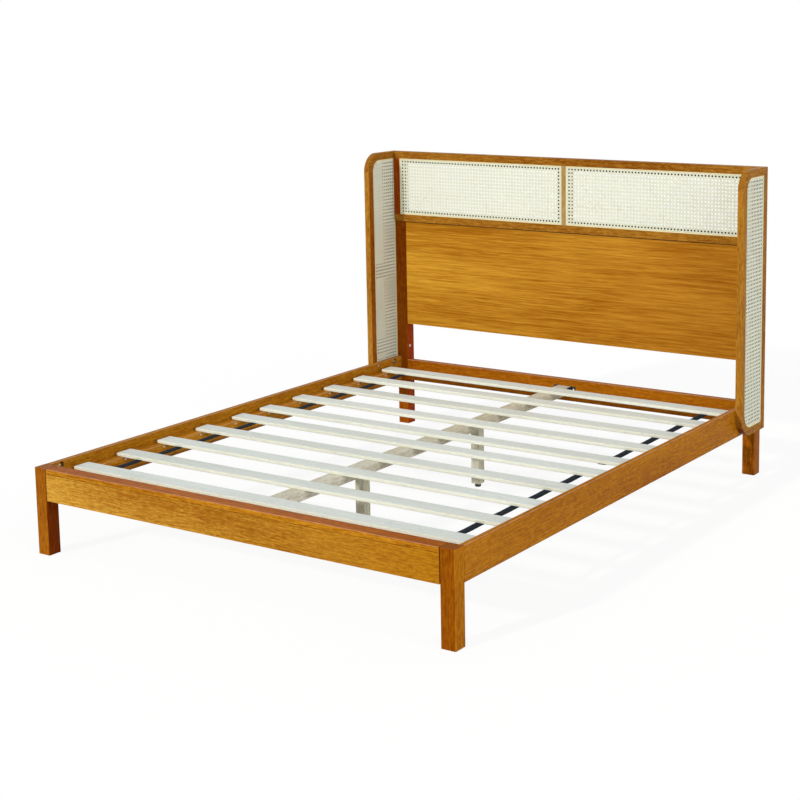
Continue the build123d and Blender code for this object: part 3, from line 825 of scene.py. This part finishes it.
# Axis and two levels of the wood behind the cane, painted nearly black as shade: the lips of the headboard
# frame and the insides of the wings
SHADE_BEHIND_BOARD_CANE = ("y", 1.0062, 1.012)
SHADE_BEHIND_WING_CANE = ("x", 0.8382, 0.8568)
FRAMES = (
    ("upper_rail_top", ("headboard_top_rail",), "x", 11, SHADE_BEHIND_BOARD_CANE, {}),
    ("upper_rail_bottom", ("headboard_bottom_rail",), "x", 12, SHADE_BEHIND_BOARD_CANE, {}),
    # The left headboard upright's redder stain is painted shade, the shadow of the left wing
    ("upper_upright_left", ("left_headboard_stile",), "z", 19, SHADE_BEHIND_BOARD_CANE,
        {"stain": (0.95, 0.42, 0.3)}),
    ("upper_upright_right", ("right_headboard_stile",), "z", 13, SHADE_BEHIND_BOARD_CANE, {}),
    # The left wing's front upright is darker on its faces towards +X: painted shade
    ("wing_upright_left", ("left_wing_front_stile",), "z", 20, None, {"side": ("x", (0.72, 0.5, 0.3))}),
    # The right wing's front upright is darker on its faces that look down: painted shade
    ("wing_upright_right", ("right_wing_front_stile",), "z", 14, None, {"side": ("-z", (0.4, 0.16, 0.12))}),
    ("wing_rear_uprights", ("left_wing_rear_stile", "right_wing_rear_stile"), "z", 17, SHADE_BEHIND_WING_CANE, {}),
    ("wing_top_arms", ("left_wing_top_arm", "right_wing_top_arm"), "y", 15, None, {}),
    # The bottom arms are darker on their faces that look down: painted shade
    ("wing_bottom_arms", ("left_wing_bottom_arm", "right_wing_bottom_arm"), "y", 25, None,
        {"side": ("-z", (0.5, 0.25, 0.2))}),
    ("wing_crossbars", ("left_wing_bars", "right_wing_bars"), "y", 16, SHADE_BEHIND_WING_CANE, {}),
)
SLATS = tuple(f"slat_{number:02d}" for number in range(1, 11))
METALS = (
    ("zinc_steel", (0.62, 0.60, 0.56), (0.38, 0.37, 0.35), 1.0, 0.34, 700.0, 0.00008, (
        "corner_bolts", "corner_washers", "corner_nuts", "wing_bolts",
        "front_threaded_insert", "rear_threaded_insert")),
    ("black_coating", (0.030, 0.030, 0.032), (0.012, 0.012, 0.013), 0.0, 0.52, 1900.0, 0.0002, (
        "beam_hangers",)),
    ("black_moulding", (0.022, 0.022, 0.024), (0.010, 0.010, 0.011), 0.0, 0.46, 1400.0, 0.0001, (
        "front_levelling_glide", "rear_levelling_glide")),
)


class BED_OT_finishes(bpy.types.Operator):
    """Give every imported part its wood, metal or plastic finish"""

    bl_idname = "bed.finishes"
    bl_label = "Finishes"

    def execute(self, context):
        look = settings("wood")
        rough = look.lacquer_roughness
        honey, framing, planed, tan = (
            [tuple(getattr(look, f"{kind}_{grain}")) for grain in ("light", "dark")]
            for kind in ("honey", "frame", "slat", "beam"))
        done = []
        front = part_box("right_front_leg")[0].x
        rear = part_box("right_rear_leg")[0].x
        for name, nodes, axis, seed, stain, more in HONEY:
            # Painted shade on the eased edges of boards that don't face up; the legs get none
            edge_shade = 0.0 if axis == "z" else 0.93
            # Painted shade in the gap where the foot board and cap meet the front legs
            gap_shade = ("x", front - GAP_SHADE_WIDTH, front) if axis == "x" and name != "head_rail" else None
            # The 0.35 after the figure is the share of painted highlight on eased edges that face up
            done.append((nodes, wood(
                "honey_" + name, axis, seed, *honey, rough, 1, 0.9, 0.35, edge_shade, stain=stain, gap_shade=gap_shade,
                **more)))
        for name, nodes, axis, seed, painted_recess_shade, more in FRAMES:
            done.append((nodes, wood(
                "cane_frame_" + name, axis, seed, *framing, rough, 1, 0.9, 0.0, 0.0, painted_recess_shade, **more)))
        done.append((("headboard_mullion",), wood(
            "cane_frame_middle_upright", "z", 18, (0.52, 0.38, 0.18), (0.33, 0.20, 0.07), rough, 1, 0.8,
            painted_recess_shade=SHADE_BEHIND_BOARD_CANE)))
        done.append((("headboard_lower_panel",), wood(
            "honey_veneer", "x", 21, *honey, rough, 1, 0.8, run=0.14, ends=PANEL_LIGHT_FALLOFF,
            gap_shade=("x", rear - GAP_SHADE_WIDTH, rear))))
        # The slats' faces towards the foot are a little creamier: painted light from the key lamp in front
        done.append((SLATS, wood(
            "planed_slats", "x", 22, *planed, 0.62, 0, 0.5, cracks=0.8, side=("-y", (1.05, 1.0, 0.90)))))
        done.append((("centre_beam",), wood("planed_beam", "y", 23, *tan, 0.6, 0, 0.9, cracks=0.6)))
        supports = ("front_support_leg", "rear_support_leg")
        done.append((supports, wood(
            "planed_supports", "z", 24, *tan, 0.6, 0, 1.0, cracks=0.6, stain=(0.88, 0.90, 0.86))))
        for name, light, dark, metallic, roughness, grit, depth, nodes in METALS:
            done.append((nodes, metal_finish(name, light, dark, metallic, roughness, grit, depth)))
        for nodes, finish in done:
            for node in nodes:
                dress(node, finish)
        # A near-black strip in the gap under the headboard frame stands in for the shade there: painted shade
        metal_finish("dark_strip", (0.050, 0.016, 0.006), (0.028, 0.008, 0.003), 0.0, 0.7, 900.0, 0.0001)
        cane_finish("peeled_cane")
        webbing_finish("navy_webbing")
        return {"FINISHED"}


class BED_OT_headboard_cane(bpy.types.Operator):
    """Weave the two cane panels of the headboard"""

    bl_idname = "bed.headboard_cane"
    bl_label = "Headboard cane"

    def execute(self, context):
        for side, _ in SIDES:
            low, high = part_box(side + "_headboard_cane")
            middle = (low.y + high.y) / 2

            def place(points, middle=middle):
                """Level is X, upright is Z and height is towards the foot."""
                return joined_up(points[:, 0], middle - points[:, 2], points[:, 1])

            cane_sheet(
                side + "_headboard_weave", side + "_headboard_cane", (low.x, low.z, high.x, high.z),
                (0.0, 0.0, 0.0, 0.0), place)
        return {"FINISHED"}


class BED_OT_wing_cane(bpy.types.Operator):
    """Weave the cane panels on both faces of the two wings"""

    bl_idname = "bed.wing_cane"
    bl_label = "Wing cane"

    def execute(self, context):
        size = settings("cane")
        for side, sign in SIDES:
            for face, way in (("inner", -sign), ("outer", sign)):
                node = f"{side}_wing_{face}_cane"
                low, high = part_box(node)
                middle = (low.x + high.x) / 2

                def place(points, middle=middle, way=way):
                    """Level is Y, turned round on a face towards -X, and height is out of the face."""
                    return joined_up(middle + way * points[:, 2], way * points[:, 0], points[:, 1])

                if way > 0:
                    rect = (low.y, low.z, high.y, high.z)
                    radii = (size.wing_bottom, 0.0, 0.0, size.wing_top)
                else:
                    rect = (-high.y, low.z, -low.y, high.z)
                    radii = (0.0, size.wing_bottom, size.wing_top, 0.0)
                cane_sheet(f"{side}_wing_{face}_weave", node, rect, radii, place)
        return {"FINISHED"}


def slat_sides(first, last):
    """Low and high side along Y of each slat from the first up to the last."""
    return [(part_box(node)[0].y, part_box(node)[1].y) for node in SLATS[first:last]]


class BED_OT_straps(bpy.types.Operator):
    """Weave the webbing under each roll of slats and staple it"""

    bl_idname = "bed.straps"
    bl_label = "Webbing and staples"

    def execute(self, context):
        size = settings("straps")
        crowns = []
        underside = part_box(SLATS[0])[0].z
        for roll, first in (("foot", 0), ("head", 5)):
            node = roll + "_roll_webbing"
            low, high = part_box(node)
            places = slat_sides(first, first + 5)
            every, uvs, faces = [], [], []
            start = 0
            for _, sign in SIDES:
                x = sign * (high.x - size.width / 2)
                points, uv, quads, ends = strap(
                    places, x, underside, size.width, size.thickness, size.sag)
                every.append(points)
                uvs.append(uv)
                faces += (quads + start).tolist() + [[corner + start for corner in end] for end in ends]
                start += len(points)
                for near, far in places:
                    for share in STAPLES_ON_SLAT:
                        y = near + (far - near) * share
                        crowns.append((x, y, underside - size.thickness - STAPLE_SINK))
            piece = add_piece(
                roll + "_roll_straps", np.concatenate(every), faces, "navy_webbing",
                np.concatenate(uvs))
            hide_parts(node)
        points, quads, caps = staples(crowns)
        faces = quads.tolist() + caps.tolist()
        add_piece("strap_staples", points, faces, "zinc_steel")
        return {"FINISHED"}


class BED_OT_screws(bpy.types.Operator):
    """Add the heads of the small wood screws on the ledgers, wings and beam plates"""

    bl_idname = "bed.screws"
    bl_label = "Screws"

    def execute(self, context):
        size = settings("screws")
        for side, sign in SIDES:
            low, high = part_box(side + "_ledger")
            face = low.x if sign > 0 else high.x
            level = high.z - LEDGER_SCREW_DROP
            y = size.ledger_first - size.ledger_pitch * np.arange(size.ledger_count)
            points, faces = screws_at([(face, place, level) for place in y], (-sign, 0, 0))
            add_piece(side + "_ledger_screws", points, faces, "zinc_steel")
            low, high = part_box(side + "_side_rail")
            face = low.x if sign > 0 else high.x
            place = (face, WING_SCREW_PLACE, high.z - WING_SCREW_DROP)
            points, faces = screws_at([place], (-sign, 0, 0))
            add_piece(side + "_wing_screw", points, faces, "zinc_steel")
        low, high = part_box("beam_hangers")
        level = low.z + PLATE_SCREW_LEVEL * (high.z - low.z)
        for name, y, way in (("foot", low.y, 1), ("head", high.y, -1)):
            face = y + way * size.plate
            places = [(sign * PLATE_SCREW_REACH, face, level) for _, sign in SIDES]
            points, faces = screws_at(places, (0, way, 0))
            add_piece(name + "_plate_screws", points, faces, "zinc_steel")
        return {"FINISHED"}


class BED_OT_gap_shade_strip(bpy.types.Operator):
    """Lay a near-black strip in the gap between the lower panel and the upper frame, as painted shade in that
    gap
    """

    bl_idname = "bed.gap_strip"
    bl_label = "Gap strip"

    def execute(self, context):
        low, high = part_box("headboard_lower_panel")
        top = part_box("headboard_bottom_rail")[0].z
        middle, half = (low.y + high.y) / 2, (high.y - low.y) / 2 - STRIP_INSET
        points, quads, ends = bar_between(
            low.x + STRIP_END_GAP, high.x - STRIP_END_GAP, middle, half, high.z, top)
        faces = quads.tolist() + ends
        add_piece("panel_gap_strip", points, faces, "dark_strip")
        return {"FINISHED"}


# Lights, floor and camera

# The camera's turn round +Z, its height above level and its roll, in degrees
CAMERA_PLACE = (3.289116, -4.715836, 1.769484)
CAMERA_ANGLES = (32.8347, 8.8748, -0.6537)
# Colour, angle that the lamp fills and turn of each lamp, in degrees
KEY_LAMP = ((1.0, 0.97, 0.90), 3.0, 15.7)
FILL_LAMP = ((1.0, 0.98, 0.94), 50.0, -72.0)
FILL_RISE = 24.0
SKY_COLOUR = (0.95, 0.98, 1.0)
FLOOR_REACH = 40.0
FLOOR_GLOW = 1.03
FLOOR_GLOW_SHARE = 0.86


class BED_OT_stage(bpy.types.Operator):
    """Set the pale floor, the soft light and the camera"""

    bl_idname = "bed.stage"
    bl_label = "Stage"

    def execute(self, context):
        size = settings("stage")
        scene = bpy.context.scene
        scene.view_settings.view_transform = "Standard"
        self.light_world(scene, size)
        self.lay_floor()
        self.hang_lamp("key", size.key, *KEY_LAMP, size.key_rise)
        self.hang_lamp("fill", size.fill, *FILL_LAMP, FILL_RISE)
        lens = bpy.data.cameras.new("camera")
        lens.sensor_width = 36.0
        lens.lens = size.lens
        lens.shift_x = size.shift_x
        lens.shift_y = size.shift_y
        lens.clip_start, lens.clip_end = 0.05, 200.0
        camera = bpy.data.objects.new("camera", lens)
        camera.rotation_mode = "QUATERNION"
        azimuth, elevation, roll = (math.radians(angle) for angle in CAMERA_ANGLES)
        turned = (
            Matrix.Rotation(azimuth, 3, "Z") @ Matrix.Rotation(math.pi / 2 - elevation, 3, "X")
            @ Matrix.Rotation(roll, 3, "Z"))
        camera.rotation_quaternion = turned.to_quaternion()
        camera.location = CAMERA_PLACE
        scene.collection.objects.link(camera)
        scene.camera = camera
        return {"FINISHED"}

    def hang_lamp(self, name, strength, colour, width, turn, rise):
        """A far lamp: width is the angle that it fills, turn its angle from -Y towards -X.

        rise is its height above the floor, as an angle.
        """
        light = bpy.data.lights.new(name, "SUN")
        light.energy = strength
        light.color = colour
        light.angle = math.radians(width)
        lamp = bpy.data.objects.new(name, light)
        turn, rise = math.radians(turn), math.radians(rise)
        way = Vector((math.sin(turn) * math.cos(rise), math.cos(turn) * math.cos(rise), -math.sin(rise)))
        lamp.rotation_mode = "QUATERNION"
        lamp.rotation_quaternion = way.to_track_quat("-Z", "Y")
        bpy.context.scene.collection.objects.link(lamp)

    def light_world(self, scene, size):
        """A cool light from all sides, shown white to the camera and in reflections."""
        world = bpy.data.worlds.new("studio")
        scene.world = world
        sky = Finish(world, "ShaderNodeOutputWorld")
        seen = sky.seen_by("Is Camera Ray", "Is Transmission Ray", "Is Glossy Ray")
        light = sky.node("ShaderNodeBackground", None, {"Color": SKY_COLOUR, "Strength": size.ambient})
        shown = sky.node("ShaderNodeBackground", None, {"Color": (1.0, 1.0, 1.0), "Strength": 1.0})
        sky.close(sky.node("ShaderNodeMixShader", None, {0: seen, 1: light, 2: shown}))

    def lay_floor(self):
        """A wide pale floor that shows near white and keeps the object's shadow."""
        finish = Finish(bpy.data.materials.new("pale_floor"))
        matt = finish.node("ShaderNodeBsdfDiffuse", None, {"Color": (0.9, 0.9, 0.9)})
        shown = finish.node("ShaderNodeEmission", None, {"Color": PLAIN, "Strength": FLOOR_GLOW})
        factor = finish.seen_by("Is Camera Ray", "Is Glossy Ray") * FLOOR_GLOW_SHARE
        seen = finish.node("ShaderNodeMixShader", None, {0: factor, 1: matt, 2: shown})
        clear = finish.node("ShaderNodeBsdfTransparent")
        below = finish.node("ShaderNodeNewGeometry", None, None, "Backfacing")
        mixed = finish.node("ShaderNodeMixShader", None, {0: below, 1: seen, 2: clear})
        finish.close(mixed)
        mesh = bpy.data.meshes.new("floor")
        corners = [(x * FLOOR_REACH, y * FLOOR_REACH, 0) for x, y in ((-1, -1), (1, -1), (1, 1), (-1, 1))]
        mesh.from_pydata(corners, [], [(0, 1, 2, 3)])
        mesh.materials.append(finish.owner)
        floor = bpy.data.objects.new("floor", mesh)
        bpy.context.scene.collection.objects.link(floor)


# The add-on's panel and its classes


class BED_PT_panel(bpy.types.Panel):
    """Settings and steps of the bed frame"""

    bl_label = "Cane bed frame"
    bl_idname = "BED_PT_panel"
    bl_space_type = "VIEW_3D"
    bl_region_type = "UI"
    bl_category = "Bed"

    def draw(self, context):
        for kind, group in GROUPS:
            box = self.layout.box()
            box.label(text=kind.capitalize())
            for name in group.__annotations__:
                box.prop(getattr(context.scene, "bed_" + kind), name)
        for operator in OPERATORS:
            self.layout.operator(operator.bl_idname)


GROUPS = (
    ("wood", BedWood), ("cane", BedCane), ("straps", BedStraps), ("screws", BedScrews), ("stage", BedStage))
OPERATORS = (
    BED_OT_finishes, BED_OT_headboard_cane, BED_OT_wing_cane, BED_OT_straps, BED_OT_screws, BED_OT_gap_shade_strip,
    BED_OT_stage)


def register():
    """Register the settings, the steps and the panel."""
    for kind, group in GROUPS:
        bpy.utils.register_class(group)
        setattr(bpy.types.Scene, "bed_" + kind, PointerProperty(type=group))
    for operator in OPERATORS:
        bpy.utils.register_class(operator)
    bpy.utils.register_class(BED_PT_panel)


def unregister():
    """Take back what register added."""
    bpy.utils.unregister_class(BED_PT_panel)
    for operator in reversed(OPERATORS):
        bpy.utils.unregister_class(operator)
    for kind, group in reversed(GROUPS):
        delattr(bpy.types.Scene, "bed_" + kind)
        bpy.utils.unregister_class(group)


def main():
    """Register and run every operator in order."""
    register()
    for operator in OPERATORS:
        group, name = operator.bl_idname.split(".")
        getattr(getattr(bpy.ops, group), name)()


if __name__ == "__main__":
    main()
